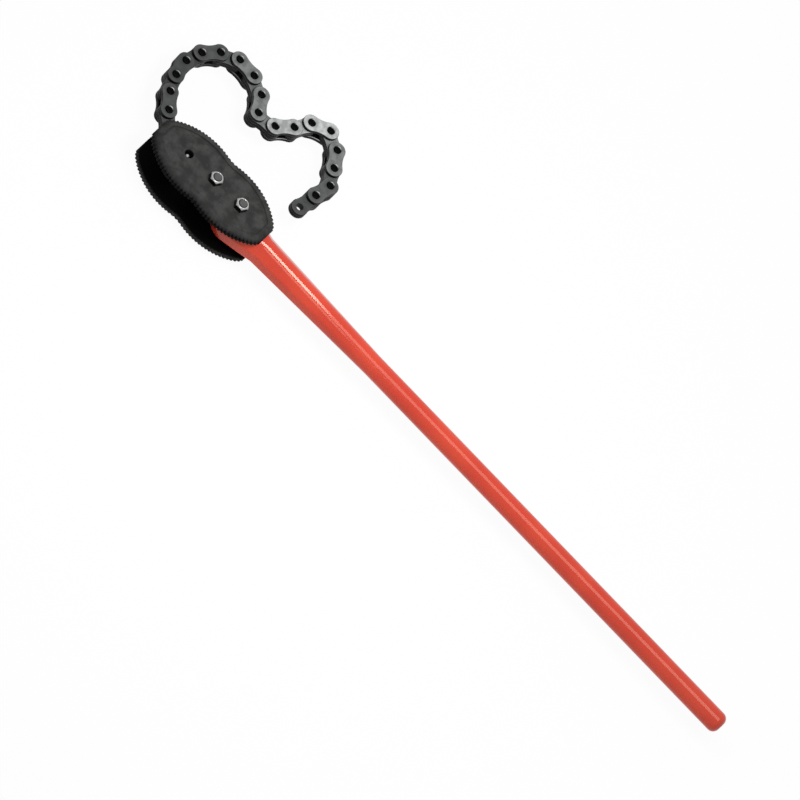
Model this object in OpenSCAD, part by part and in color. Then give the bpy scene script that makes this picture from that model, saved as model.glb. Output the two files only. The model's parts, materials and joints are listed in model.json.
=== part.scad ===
// Chain pipe wrench with a forged bar handle, two double-ended toothed jaws and a flat-link chain.
// Lengths are in millimetres. X runs along the handle towards its butt, Z is square to the jaws.
// The origin lies on the handle axis, where the round grip ends and the butt rounding starts.

/* [Handle] */
// Distance from the middle jaw bolt to the butt end
handle_reach = 875; // [600:1400]
// Diameter of the round grip
bar_d = 27; // [20:0.5:34]
// Rounding of the butt edge
butt_round = 9; // [3:0.5:9.5]
// Distance from the middle bolt to where the flats of the neck run out
neck_reach = 285; // [200:400]
// Distance from the middle bolt to the thick end of the neck
neck_start = 97; // [92:130]
// Width of the neck at its thick end
neck_w = 36.4; // [30:0.2:44]
// Width of the round spade about the tail bolt
spade_w = 55; // [46:0.5:58]
// Width of the nose that reaches from the spade to the middle bolt
nose_w = 34; // [28:0.5:40]
// Width of the chamfer on the nose
nose_chamfer = 5; // [2:0.5:7]
// Thickness of the spade, which is also the gap between the jaws
spade_t = 39.5; // [32:0.5:44]
// Height of the forged chamfer along the spade and neck
chamfer_h = 12.6; // [6:0.2:14]
// Width of the forged chamfer along the spade and neck
chamfer_w = 12.8; // [6:0.2:14]

/* [Jaws] */
// Length of a jaw over the teeth
jaw_l = 180; // [170:220]
// Width of a jaw over its two lobes
jaw_w = 87; // [80:0.5:92]
// Radius of the hollow waist of a jaw
waist_r = 40; // [20:60]
// Thickness of a jaw
jaw_t = 9.5; // [8:0.5:16]
// Radius of the two jaw tips
tip_r = 30; // [24:0.5:33]
// Distance of the widest place of a lobe from the middle bolt
lobe_x = 26.5; // [22:0.5:32]
// Spacing of the three jaw holes
hole_gap = 43; // [38:0.5:50]
// Diameter of the jaw holes
hole_d = 11; // [9:0.5:13]
// Spacing of the teeth along the rim
tooth_gap = 5; // [4:0.1:8]
// Depth of the teeth
tooth_depth = 2; // [1:0.1:3]
// Width of the bevel along the outer rim
bevel_w = 10; // [5:0.5:12]
// Height of the bevel along the outer rim
bevel_h = 4; // [1:0.1:5]

/* [Fasteners] */
// Diameter of the jaw bolts
bolt_d = 10.4; // [8:0.1:11]
// Width across the flats of the nuts and bolt heads
hex_w = 16; // [14:0.5:20]
// Height of a nut
nut_h = 8.4; // [6:0.1:12]
// Height of a bolt head
head_h = 6.4; // [5:0.1:9]
// Length of full bolt showing past its nut
bolt_past = 0.4; // [0.2:0.1:5]
// Depth of the anchor pin below the outer jaw faces
pin_recess = 3; // [1.5:0.5:4]
// Height of the domes on the ends of the anchor pin
pin_dome = 3; // [1:0.5:4]
// Chamfer on the corners of the nuts and bolt heads
hex_chamfer = 1.2; // [0.6:0.1:2]
// Chamfer on the ends of the bolts
end_chamfer = 0.8; // [0.5:0.1:1.5]

/* [Chain] */
// Distance between neighbouring chain pins
pitch = 25.4; // [25:0.1:32]
// Height of a link plate over its round ends
plate_w = 22; // [18:0.5:24]
// Height of a link plate at its waist
plate_waist = 18.4; // [15:0.1:20]
// Thickness of a link plate
plate_t = 4.8; // [3.5:0.1:5.5]
// Side play between inner and outer plates
side_play = 0.3; // [0.2:0.05:0.5]
// Diameter of the chain pins
pin_d = 8.4; // [7:0.1:9.4]
// Diameter of the riveted pin ends
rivet_d = 10.4; // [9.8:0.1:12]
// Height of the riveted pin ends
rivet_h = 1.8; // [1:0.1:2.5]
// Chamfer on the riveted pin ends
rivet_chamfer = 0.8; // [0.4:0.1:0.9]
// Diameter of the dish in the riveted pin ends
dish_d = 7.4; // [5:0.1:7.8]
// Depth of the dish in the riveted pin ends
dish_h = 1.1; // [0.5:0.1:1.5]
// Diameter of the eye in the free end link
eye_d = 9; // [8:0.1:10]
// Play of a pin in the plates that turn on it, across the diameter
run_play = 0.12; // [0.06:0.01:0.18]
// Play of a pin in the plates that hold it, across the diameter
press_play = 0.02; // [0.02:0.01:0.04]

/* [Shackle] */
// Distance from the anchor pin to the first chain pin
shackle_l = 42; // [38:50]
// Diameter of the shackle hub on the anchor pin
hub_d = 25; // [22:0.5:26]
// Play between the shackle hub and each jaw
hub_play = 0.3; // [0.2:0.05:0.6]

/* [Rest pose] */
// Direction in which the shackle and each link lie, in degrees from the handle direction
lay = [150, 137, 126, 113, 99, 77, 54, 31, -3, -28, -59, 9, 50, 66, 28, -31, -59, -62, -98, -97];

/* [Hidden] */
$fn = 48;
thin = 0.02;
links = len(lay);
outers = floor((links - 2) / 2);
inners = links - 1 - outers;
bar_r = bar_d / 2;
gap = spade_t;
face_z = gap / 2 + jaw_t;
grip_end = handle_reach - butt_round;
plate_r = plate_w / 2;
hex_d = hex_w / cos(30);
chain_half = plate_t * 2 + side_play;
anchor = [-hole_gap, 0];

// Radius and height of the hollow sides of a link plate
hollow_r = (pow(pitch / 2, 2) + pow(plate_waist / 2, 2) - pow(plate_r, 2)) / (plate_w - plate_waist);
hollow_y = hollow_r + plate_waist / 2;

// Arcs of the jaw outline: tip, side of a lobe and hollow waist
tip_x = jaw_l / 2 - tip_r;
lobe_run = tip_x - lobe_x;
lobe_rise = jaw_w / 2 - tip_r;
tip_turn = 90 - 2 * atan(lobe_rise / lobe_run);
side_extra = lobe_run / cos(tip_turn);
side_r = tip_r + side_extra;
side_y = -side_extra * sin(tip_turn);
waist_y = side_y + sqrt(pow(side_r + waist_r, 2) - pow(lobe_x, 2));
waist_turn = asin(lobe_x / (side_r + waist_r));

// Teeth on each arc
tip_teeth = round(2 * tip_turn * PI / 180 * tip_r / tooth_gap);
side_teeth = round((90 + waist_turn - tip_turn) * PI / 180 * side_r / tooth_gap);
waist_teeth = max(2, round(2 * waist_turn * PI / 180 * waist_r / tooth_gap));

// Each tooth has a root point and two crest points; a plain outline has fewer points, none of them roots
crest_share = 0.24;
tooth_steps = [[0, 1], [0.5 - crest_share / 2, 0], [0.5 + crest_share / 2, 0]];
plain_steps = [[0, 0]];
plain_share = 0.6;
plain_grow = 0.4;

// Points of one arc; a negative radius makes a hollow arc, and roots lie inside by the tooth depth
function arc_points(c, r, from, to, count, steps) = [
  for (i = [0 : count - 1], s = steps)
    let (a = from + (to - from) * (i + s[0]) / count, q = abs(r) - sign(r) * tooth_depth * s[1])
      c + q * [cos(a), sin(a)]
];

// Half of the jaw outline: right tip, right side, waist and left side; grow moves it outwards
function half_points(steps, share, grow) = concat(
  arc_points([tip_x, 0], tip_r + grow, -tip_turn, tip_turn, ceil(tip_teeth * share), steps),
  arc_points([lobe_x, side_y], side_r + grow, tip_turn, 90 + waist_turn, ceil(side_teeth * share), steps),
  arc_points(
    [0, waist_y],
    grow - waist_r,
    270 + waist_turn,
    270 - waist_turn,
    ceil(waist_teeth * share),
    steps
  ),
  arc_points(
    [-lobe_x, side_y],
    side_r + grow,
    90 - waist_turn,
    180 - tip_turn,
    ceil(side_teeth * share),
    steps
  )
);
function turned(points) = [for (p = points) -p];
function whole(half) = concat(half, turned(half));
toothed_outline = whole(half_points(tooth_steps, 1, 0));
plain_outline = whole(half_points(plain_steps, plain_share, plain_grow));

// Place of each chain pin, from the anchor pin to the eye of the end link
function link_length(i) = i == 0 ? shackle_l : pitch;
function pin_place(i) =
  i == 0 ? anchor : pin_place(i - 1) + link_length(i - 1) * [cos(lay[i - 1]), sin(lay[i - 1])];

// Link numbers along the chain: inner links are odd, outer links are even
function inner_number(k) = 2 * k - 1;
function outer_number(k) = 2 * k;

handle_red = [0.78, 0.16, 0.12];
jaw_grey = [0.22, 0.22, 0.21];
chain_grey = [0.40, 0.41, 0.42];
pin_grey = [0.16, 0.16, 0.17];
bright = [0.80, 0.80, 0.80];

function plate_names(kind, count) =
  [for (k = [1 : count], side = ["front", "rear"]) str(kind, k, "_", side, "_plate")];

// Moves shapes drawn about the middle bolt into the frame of the whole tool
module placed() {
  translate([-grip_end, 0, 0]) children();
}

// Cross section of the neck in the Y and Z directions
module neck_section() {
  half_w = neck_w / 2;
  half_t = spade_t / 2;
  polygon([
    [half_t, chamfer_w - half_w],
    [half_t, half_w - chamfer_w],
    [half_t - chamfer_h, half_w],
    [chamfer_h - half_t, half_w],
    [-half_t, half_w - chamfer_w],
    [-half_t, chamfer_w - half_w],
    [chamfer_h - half_t, -half_w],
    [half_t - chamfer_h, -half_w]
  ]);
}

// Thin slice of the neck at its thick end
module neck_slice() {
  translate([neck_start, 0, 0]) rotate([0, 90, 0]) linear_extrude(thin) neck_section();
}

// Round lobe of the spade with its edges chamfered on both faces by a given width
module spade_lobe(w, c) {
  translate([0, 0, -spade_t / 2]) cylinder(h = spade_t, d = w - 2 * c);
  translate([0, 0, chamfer_h - spade_t / 2]) cylinder(h = spade_t - 2 * chamfer_h, d = w);
}

// Round spade between the jaws, forged in one with the neck
module spade() {
  hull() {
    neck_slice();
    translate([hole_gap, 0, 0]) spade_lobe(spade_w, chamfer_w);
  }
}

// Narrow nose that reaches from the spade to the middle bolt
module nose() {
  hull() for (x = [0, hole_gap]) translate([x, 0, 0]) spade_lobe(nose_w, nose_chamfer);
}

// Eight-sided neck that runs out into the round grip
module neck() {
  hull() {
    neck_slice();
    translate([neck_reach, 0, 0]) rotate([0, 90, 0]) cylinder(h = thin, r = bar_r);
  }
}

// Quarter of the rounding at the butt edge
module butt_profile() {
  intersection() {
    translate([bar_r - butt_round, 0]) circle(butt_round);
    square([bar_r, butt_round]);
  }
}

// Round grip with a rounded butt
module grip() {
  translate([neck_reach, 0, 0]) rotate([0, 90, 0]) {
    cylinder(h = grip_end - neck_reach, r = bar_r);
    cylinder(h = handle_reach - neck_reach, r = bar_r - butt_round);
    translate([0, 0, grip_end - neck_reach]) rotate_extrude() butt_profile();
  }
}

module handle() {
  color(handle_red) placed() difference() {
    union() {
      nose();
      spade();
      neck();
      grip();
    }
    for (x = [0, hole_gap]) translate([x, 0, -spade_t]) cylinder(h = 2 * spade_t, d = hole_d);
  }
}

// Jaw body without its teeth, which are cut through it from the rim
module jaw_body() {
  linear_extrude(jaw_t - bevel_h) polygon(plain_outline);
  translate([0, 0, jaw_t - bevel_h - thin])
    linear_extrude(bevel_h + thin, scale = [1 - 2 * bevel_w / jaw_l, 1 - 2 * bevel_w / jaw_w], slices = 1)
      polygon(plain_outline);
}

// One jaw lying on the inner face of the gap, with its bevelled side up
module jaw() {
  difference() {
    intersection() {
      linear_extrude(jaw_t) polygon(toothed_outline);
      jaw_body();
    }
    for (x = [-hole_gap, 0, hole_gap]) translate([x, 0, -1]) cylinder(h = jaw_t + 2, d = hole_d);
  }
}

module front_jaw() {
  color(jaw_grey) placed() translate([0, 0, gap / 2]) jaw();
}

module rear_jaw() {
  color(jaw_grey) placed() rotate([180, 0, 0]) translate([0, 0, gap / 2]) jaw();
}

// Six-sided block with its outer corners turned off
module hex_block(h) {
  intersection() {
    cylinder(h = h, d = hex_d, $fn = 6);
    union() {
      cylinder(h = h - hex_chamfer, d = hex_d);
      translate([0, 0, h - hex_chamfer]) cylinder(h = hex_chamfer, d1 = hex_d, d2 = hex_w - hex_chamfer);
    }
  }
}

// Bolt with its head under the rear jaw and its end past the nut on the front jaw
module bolt(x) {
  color(bright) placed() translate([x, 0, 0]) {
    translate([0, 0, -face_z]) rotate([180, 0, 0]) hex_block(head_h);
    translate([0, 0, -face_z]) cylinder(h = 2 * face_z + nut_h + bolt_past, d = bolt_d);
    translate([0, 0, face_z + nut_h + bolt_past])
      cylinder(h = end_chamfer, d1 = bolt_d, d2 = bolt_d - 2 * end_chamfer);
  }
}

module nut(x) {
  color(bright) placed() translate([x, 0, face_z]) difference() {
    hex_block(nut_h);
    translate([0, 0, -1]) cylinder(h = nut_h + 2, d = bolt_d + press_play);
  }
}

module middle_bolt() {
  bolt(0);
}

module tail_bolt() {
  bolt(hole_gap);
}

module middle_nut() {
  nut(0);
}

module tail_nut() {
  nut(hole_gap);
}

// Plain pin held in the front holes of both jaws, with domed ends below the outer faces
module anchor_pin() {
  pin_w = hole_d - press_play;
  half = face_z - pin_recess;
  ball_r = (pow(pin_w / 2, 2) + pow(pin_dome, 2)) / (2 * pin_dome);
  color(bright) placed() translate([anchor[0], anchor[1], 0]) for (turn = [0, 180]) rotate([turn, 0, 0]) {
    cylinder(h = half - pin_dome, d = pin_w);
    translate([0, 0, half - pin_dome]) intersection() {
      cylinder(h = pin_dome, d = pin_w);
      translate([0, 0, pin_dome - ball_r]) sphere(ball_r);
    }
  }
}

// Puts a shape drawn along X from the origin onto link i of the chain
module on_link(i) {
  place = pin_place(i);
  placed() translate([place[0], place[1], 0]) rotate([0, 0, lay[i]]) children();
}

// Outline of one shackle arm
module arm_shape() {
  circle(d = hub_d);
  translate([shackle_l, 0]) circle(plate_r);
  polygon([[0, hub_d / 2], [0, -hub_d / 2], [shackle_l, -plate_r], [shackle_l, plate_r]]);
}

// Forged shackle: a hub as wide as the gap and a fork that takes the first inner link
module shackle() {
  hub_h = gap - 2 * hub_play;
  color(jaw_grey) on_link(0) difference() {
    union() {
      translate([0, 0, -hub_h / 2]) cylinder(h = hub_h, d = hub_d);
      for (z = [plate_t + side_play, -chain_half]) translate([0, 0, z]) linear_extrude(plate_t) arm_shape();
    }
    translate([0, 0, -gap]) cylinder(h = 2 * gap, d = hole_d - press_play + run_play);
    translate([shackle_l, 0, -gap]) cylinder(h = 2 * gap, d = pin_d + press_play);
  }
}

// Chain pin through the full width of the links, riveted over and dished at both ends
module chain_pin() {
  pin_end = chain_half + rivet_h;
  difference() {
    for (turn = [0, 180]) rotate([turn, 0, 0]) {
      cylinder(h = chain_half, d = pin_d);
      translate([0, 0, chain_half]) cylinder(h = rivet_h - rivet_chamfer, d = rivet_d);
      translate([0, 0, pin_end - rivet_chamfer])
        cylinder(h = rivet_chamfer, d1 = rivet_d, d2 = rivet_d - 2 * rivet_chamfer);
    }
    for (turn = [0, 180]) rotate([turn, 0, 0])
      translate([0, 0, pin_end - dish_h]) cylinder(h = dish_h, d1 = dish_d / 2, d2 = dish_d);
  }
}

module shackle_pin() {
  color(pin_grey) on_link(0) translate([shackle_l, 0, 0]) chain_pin();
}

// Waisted link plate with a hole at each end
module plate(hole_1, hole_2) {
  linear_extrude(plate_t) difference() {
    union() {
      circle(plate_r);
      translate([pitch, 0]) circle(plate_r);
      difference() {
        translate([0, -plate_r]) square([pitch, plate_w]);
        for (y = [hollow_y, -hollow_y]) translate([pitch / 2, y]) circle(hollow_r, $fn = 96);
      }
    }
    circle(d = hole_1);
    translate([pitch, 0]) circle(d = hole_2);
  }
}

// Inner links have two plates lying together in the middle; the last one carries the open eye
module inner_plate(k, front) {
  far_hole = k == inners ? eye_d : pin_d + run_play;
  color(chain_grey) on_link(inner_number(k)) translate([0, 0, front ? 0 : -plate_t])
    plate(pin_d + run_play, far_hole);
}

// Outer links have one plate on each side and hold two pins
module outer_plate(k, front) {
  color(chain_grey) on_link(outer_number(k)) translate([0, 0, front ? plate_t + side_play : -chain_half])
    plate(pin_d + press_play, pin_d + press_play);
}

module outer_pins(k) {
  color(pin_grey) on_link(outer_number(k)) for (x = [0, pitch]) translate([x, 0, 0]) chain_pin();
}

handle();
front_jaw();
rear_jaw();
middle_bolt();
tail_bolt();
middle_nut();
tail_nut();
anchor_pin();
shackle();
shackle_pin();
for (k = [1 : inners]) {
  inner_plate(k, true);
  inner_plate(k, false);
}
for (k = [1 : outers]) {
  outer_plate(k, true);
  outer_plate(k, false);
  outer_pins(k);
}
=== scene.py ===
"""Dresses the chain pipe wrench: enamelled handle, toothed jaws, fasteners, shackle and flat-link chain."""

import json
import math

import bmesh
import bpy
from bpy.props import FloatProperty, FloatVectorProperty, PointerProperty
from mathutils import Matrix, Vector


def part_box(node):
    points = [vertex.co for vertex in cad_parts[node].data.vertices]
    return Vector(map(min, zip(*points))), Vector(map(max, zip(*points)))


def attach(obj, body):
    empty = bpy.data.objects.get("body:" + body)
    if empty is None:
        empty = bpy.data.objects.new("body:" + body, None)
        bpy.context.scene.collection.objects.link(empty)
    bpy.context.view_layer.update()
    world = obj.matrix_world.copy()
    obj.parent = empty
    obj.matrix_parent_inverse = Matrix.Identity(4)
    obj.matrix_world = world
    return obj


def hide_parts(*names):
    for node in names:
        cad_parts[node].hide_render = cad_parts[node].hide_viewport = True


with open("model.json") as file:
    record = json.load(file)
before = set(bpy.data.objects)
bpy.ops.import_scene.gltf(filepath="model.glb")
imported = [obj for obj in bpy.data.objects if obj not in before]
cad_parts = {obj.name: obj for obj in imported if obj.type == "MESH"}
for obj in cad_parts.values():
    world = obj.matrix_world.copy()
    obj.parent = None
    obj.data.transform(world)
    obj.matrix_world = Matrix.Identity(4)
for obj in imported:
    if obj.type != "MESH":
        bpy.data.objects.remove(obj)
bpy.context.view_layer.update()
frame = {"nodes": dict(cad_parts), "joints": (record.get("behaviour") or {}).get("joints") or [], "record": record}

bl_info = {
    "name": "Chain Pipe Wrench",
    "version": (1, 0, 0),
    "blender": (4, 5, 0),
    "location": "View3D > Sidebar > Wrench",
    "description": "Builds the finished surfaces of a chain pipe wrench around its packed solids",
    "category": "Object",
}

MM = 0.001
ROOT_BODY = "wrench"


def centre(node):
    """Middle of a solid's box."""
    low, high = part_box(node)
    return (low + high) / 2


def extent(node):
    """Size of a solid's box along each axis."""
    low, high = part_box(node)
    return high - low


# Places and sizes read from the solids
MIDDLE = centre("middle_nut")
TAIL = centre("tail_nut")
ANCHOR = centre("anchor_pin")
HOLE_GAP = TAIL.x - MIDDLE.x
JAW_SIZE = extent("front_jaw")
INNER_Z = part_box("front_jaw")[0].z
FACE_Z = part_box("front_jaw")[1].z
NUT_SIZE = extent("middle_nut")
BOLT_LOW, BOLT_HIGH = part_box("middle_bolt")
BUTT_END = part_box("handle")[1].x
SPADE_T = extent("handle").z
SPADE_W = extent("handle").y
PIN_HALF = extent("shackle_pin").z / 2
RIVET_D = extent("shackle_pin").x

# Marks that the meshes carry for their finishes: edge wear, painted shade, and the painted sheen of single links
EDGE_MARK = "edge"
PAINTED_SHADE_MARK = "grime"
SHEEN_MARK = "shade"

# Material and slot of each kind of surface
ENAMEL = ("red_enamel", "red_paint")
JAW_STEEL = ("blackened_jaw_steel", "jaw_steel")
LINK_STEEL = ("oiled_link_steel", "chain_steel")
PIN_STEEL = ("black_oxide_pins", "pin_steel")
ZINC = ("bright_zinc", "bright_steel")
BOLT_STEEL = ("dull_bolt_steel", "bright_steel")


def limited(share):
    """Share kept between 0 and 1."""
    return min(max(share, 0.0), 1.0)


def length(name, description, millimetres):
    """Size property, given in millimetres."""
    return FloatProperty(
        name=name, description=description, default=millimetres * MM, unit="LENGTH", min=0.0, precision=4
    )


def tint(name, description, default):
    """Colour property."""
    return FloatVectorProperty(
        name=name, description=description, default=default, subtype="COLOR", size=3, min=0.0, max=1.0
    )


def angle(name, description, degrees):
    """Angle property, given in degrees."""
    return FloatProperty(name=name, description=description, default=math.radians(degrees), subtype="ANGLE")


def power(name, description, watts):
    """Lamp power property."""
    return FloatProperty(name=name, description=description, default=watts, min=0.0, subtype="POWER")


class HandleSizes(bpy.types.PropertyGroup):
    """Sizes of the forged handle."""

    bar_d: length("Grip diameter", "Diameter of the round grip", 27)
    butt_round: length("Butt rounding", "Rounding of the butt edge", 9)
    neck_reach: length("Neck reach", "Distance from the middle bolt to where the flats run out", 285)
    neck_start: length("Neck start", "Distance from the middle bolt to the thick end of the neck", 97)
    neck_w: length("Neck width", "Width of the neck at its thick end", 36.4)
    nose_w: length("Nose width", "Width of the nose that reaches to the middle bolt", 34)
    nose_chamfer: length("Nose chamfer", "Width of the chamfer on the nose", 5)
    chamfer_h: length("Chamfer height", "Height of the chamfer along spade and neck", 12.6)
    chamfer_w: length("Chamfer width", "Width of the chamfer along spade and neck", 12.8)
    ridge_round: length("Ridge rounding", "Rounding of the ridges beside the top and bottom faces", 12)
    side_round: length("Side rounding", "Rounding of the ridges beside the two sides", 3)
    spade_shift: length("Spade shift", "Distance of the spade's widest place past the tail bolt", 7)
    spade_swell: length("Spade swell", "Swell of the enamelled spade over the solid one", 1.2)
    hole_d: length("Bolt hole", "Diameter of the bolt holes in the spade", 11)
    # The spade is painted darker towards the nose, as painted shade between the jaws
    shade_end: length("Dirt place", "Distance from the middle bolt to where the spade is black", 10)
    shade_reach: length("Dirt reach", "Length of the neck that the last of the dirt reaches", 15)


class JawSizes(bpy.types.PropertyGroup):
    """Sizes of the two toothed jaws."""

    tip_r: length("Tip radius", "Radius of the two tips", 30)
    tip_cut: length("Tip cut", "Length that the flat ends take off the round tips", 3.4)
    lobe_x: length("Lobe place", "Distance of a lobe's widest place from the middle bolt", 26.5)
    waist_r: length("Waist radius", "Radius of the hollow waist", 40)
    tooth_gap: length("Tooth spacing", "Spacing of the teeth along the rim", 5)
    tooth_depth: length("Tooth depth", "Depth of the teeth", 2)
    bevel_w: length("Bevel width", "Width of the bevel along the outer rim", 10)
    bevel_h: length("Bevel height", "Height of the bevel along the outer rim", 4)
    hole_d: length("Hole diameter", "Diameter of the three holes", 11)
    edge_round: length("Edge rounding", "Rounding of the machined edges", 0.3)


class FastenerSizes(bpy.types.PropertyGroup):
    """Sizes of the bolts, the nuts and the anchor pin."""

    bolt_d: length("Bolt diameter", "Diameter of the jaw bolts", 10.4)
    thread_pitch: length("Thread pitch", "Distance between thread crests", 1.5)
    thread_depth: length("Thread depth", "Depth of the thread", 0.55)
    corner_turn: length("Corner chamfer", "Height turned off the corners of nuts and heads", 2)
    anchor_dome: length("Anchor dome", "Height of the dome on the ends of the anchor pin", 3)


class ChainSizes(bpy.types.PropertyGroup):
    """Sizes of the chain."""

    plate_w: length("Plate height", "Height of a link plate over its round ends", 22)
    plate_waist: length("Plate waist", "Height of a link plate at its waist", 18.4)
    plate_t: length("Plate thickness", "Thickness of a link plate", 4.8)
    pin_d: length("Pin diameter", "Diameter of the chain pins", 8.4)
    rivet_h: length("Rivet height", "Height of the riveted pin ends", 1.8)
    eye_d: length("Eye diameter", "Diameter of the eye in the free end link", 9)
    edge_round: length("Edge rounding", "Rounding of the stamped edges", 0.7)
    dish_d: length("Dish diameter", "Diameter of the dish in a pin end", 7.4)
    dish_h: length("Dish depth", "Depth of the dish in a pin end", 1.1)


class Finishes(bpy.types.PropertyGroup):
    """Colours of the finishes."""

    enamel: tint("Enamel", "Red enamel of the handle", (0.59, 0.049, 0.023))
    enamel_deep: tint("Deep enamel", "Red enamel where it lies thick", (0.545, 0.039, 0.019))
    jaw_dark: tint("Dark jaw steel", "Blackened steel of the jaws", (0.0255, 0.0255, 0.025))
    jaw_light: tint("Light jaw steel", "Rubbed patches of the jaws", (0.0525, 0.052, 0.051))
    chain_dark: tint("Dark chain steel", "Oiled steel of the link plates", (0.028, 0.029, 0.029))
    # Lighter steel that the painted sheen of single links goes to
    chain_sheen: tint("Light chain steel", "Worn steel of the link plates", (0.60, 0.61, 0.61))
    pin_black: tint("Pin black", "Black oxide of the pin ends", (0.003, 0.003, 0.003))
    zinc: tint("Zinc", "Bright plating of the nuts", (0.45, 0.45, 0.445))
    bolt_grey: tint("Bolt steel", "Dull steel of the bolts", (0.07, 0.07, 0.07))
    # Near black laid on as painted shade in recesses, between parts and on sides turned from the light
    grime: tint("Grime", "Oil and dirt in recesses", (0.0015, 0.0015, 0.0015))
    # The rubbed steel colour shows as a painted glint on the lit side of the pin rims and on the anchor pin's
    # domes
    rubbed: tint("Rubbed steel", "Steel rubbed bright on the pin rims", (0.42, 0.43, 0.43))
    bare: tint("Bare steel", "Steel rubbed bare on edges", (0.30, 0.30, 0.30))


class StageSettings(bpy.types.PropertyGroup):
    """Camera and light of the studio."""

    tilt: angle("View tilt", "Angle between the view and the jaw axis", 37)
    roll: angle("Handle slant", "Slant of the handle in the frame", 46.05)
    frame_width: length("Frame width", "Width of the view at the tool", 940)
    aim: FloatVectorProperty(
        name="Aim", description="Point that the camera faces", default=(-0.5294, -0.0064, 0.0), unit="LENGTH"
    )
    lens: FloatProperty(name="Lens", description="Focal length of the camera", default=600.0, unit="CAMERA")
    sky: FloatProperty(name="Sky light", description="Strength of the even light", default=0.4, min=0.0)
    strip_power: power("Strip light", "Power of the long light over the grip", 8.8)
    head_power: power("Head light", "Power of the light over the neck", 5.2)
    key_power: power("Key light", "Power of the light beyond the chain", 4.0)
    fill_power: power("Fill light", "Power of the light on the near side of the neck", 1.3)


# Mesh building

SHARP_ANGLE = 35.0


def add_ring(bm, points, edge=0.0, grime=0.0):
    """Adds a ring of vertices with an edge mark and a painted shade mark, which may depend on the place."""
    marks = bm.verts.layers.float
    edge_layer = marks.get(EDGE_MARK) or marks.new(EDGE_MARK)
    shade_layer = marks.get(PAINTED_SHADE_MARK) or marks.new(PAINTED_SHADE_MARK)
    ring = [bm.verts.new(p) for p in points]
    for vert in ring:
        vert[edge_layer] = edge
        vert[shade_layer] = grime(vert.co) if callable(grime) else grime
    return ring


def bridge(bm, first, second):
    """Joins two rings of the same length with quads."""
    count = len(first)
    for i in range(count):
        after = (i + 1) % count
        bm.faces.new((first[i], first[after], second[after], second[i]))


def stack(bm, rings):
    """Joins each ring to the next one."""
    for first, second in zip(rings, rings[1:]):
        bridge(bm, first, second)


def close(bm, rings):
    """Joins the rings in order and closes both ends."""
    stack(bm, rings)
    bm.faces.new(rings[0])
    bm.faces.new(rings[-1])


def ring_edges(bm, ring):
    """Edges along a ring, made where they are missing."""
    found = []
    for i, vert in enumerate(ring):
        after = ring[(i + 1) % len(ring)]
        found.append(bm.edges.get((vert, after)) or bm.edges.new((vert, after)))
    return found


def fill(bm, rings):
    """Closes a flat face whose rim is the first ring and whose holes are the others."""
    edges = [edge for ring in rings for edge in ring_edges(bm, ring)]
    bmesh.ops.triangle_fill(bm, use_beauty=True, use_dissolve=False, edges=edges)


def close_plate(bm, rim, bores):
    """Joins the rings of a rim and of its bores, and closes the flat faces above and below."""
    for rings in (rim, *bores):
        stack(bm, rings)
    for end in (0, -1):
        fill(bm, [rings[end] for rings in (rim, *bores)])


def polar(radius, a, z, place=(0.0, 0.0)):
    """Point at a distance and direction from a place, square to Z."""
    return Vector((place[0] + radius * math.cos(a), place[1] + radius * math.sin(a), z))


def circle(radius, z, count, place=(0.0, 0.0)):
    """Points of a circle square to Z."""
    return [polar(radius, math.tau * i / count, z, place) for i in range(count)]


def bore(bm, x, radius, chamfer, sides, heights, wear, grime):
    """Rings of a hole with chamfered edges, from its lower and upper height and the painted shade of each ring."""
    low, high = heights
    wide = radius + chamfer
    rows = ((wide, high), (radius, high - chamfer), (radius, low + chamfer), (wide, low))
    return [add_ring(bm, circle(r, z, sides, (x, 0.0)), wear, dark) for (r, z), dark in zip(rows, grime)]


def placed(name, data):
    """Object that shows some data in the scene."""
    made = bpy.data.objects.new(name, data)
    bpy.context.scene.collection.objects.link(made)
    return made


def solid_mesh(name, bm):
    """Mesh data with its faces turned outwards."""
    bmesh.ops.recalc_face_normals(bm, faces=bm.faces)
    mesh = bpy.data.meshes.new(name)
    bm.to_mesh(mesh)
    bm.free()
    return mesh


def piece(name, bm, body, surface, node, matrix=None, sharp=SHARP_ANGLE):
    """Turns a mesh into a piece that rides on a body and stands for a solid."""
    material, slot = surface
    mesh = solid_mesh(name, bm)
    if matrix is not None:
        mesh.transform(matrix)
    mesh.polygons.foreach_set("use_smooth", [True] * len(mesh.polygons))
    mesh.set_sharp_from_angle(angle=math.radians(sharp))
    mesh.materials.append(bpy.data.materials[material])
    made = placed(name, mesh)
    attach(made, body)
    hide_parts(node)
    return made


def combine(made, bm, operation):
    """Joins a mesh to a piece or cuts it out, and keeps the result as the mesh of the piece."""
    tool = placed("tool", solid_mesh("tool", bm))
    step = made.modifiers.new("Combine", "BOOLEAN")
    step.object = tool
    step.operation = operation
    bpy.context.view_layer.update()
    depsgraph = bpy.context.evaluated_depsgraph_get()
    solid = bpy.data.meshes.new_from_object(made.evaluated_get(depsgraph))
    made.modifiers.remove(step)
    made.data = solid
    bpy.data.objects.remove(tool)


def mark_points(made, name, values):
    """Gives every vertex of a piece its value of a mark."""
    attributes = made.data.attributes
    layer = attributes.get(name) or attributes.new(name, "FLOAT", "POINT")
    layer.data.foreach_set("value", values)


def soften(made, width, limit=SHARP_ANGLE):
    """Rounds the sharp edges of a piece."""
    rounding = made.modifiers.new("Rounded edges", "BEVEL")
    rounding.width = width
    rounding.segments = 2
    rounding.limit_method = "ANGLE"
    rounding.angle_limit = math.radians(limit)
    rounding.harden_normals = True


# Shader groups

# Detail of the noise behind each mask, and the noise at which the mask starts and is full
MASKS = {"Patch": (3.0, 0.35, 0.65), "Speckle": (2.0, 0.3, 0.7)}
WEAR_DETAIL = 4.0
WEAR_START = 0.78
WEAR_FULL = 1.02
RELIEF_DETAIL = 3.0
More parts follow.
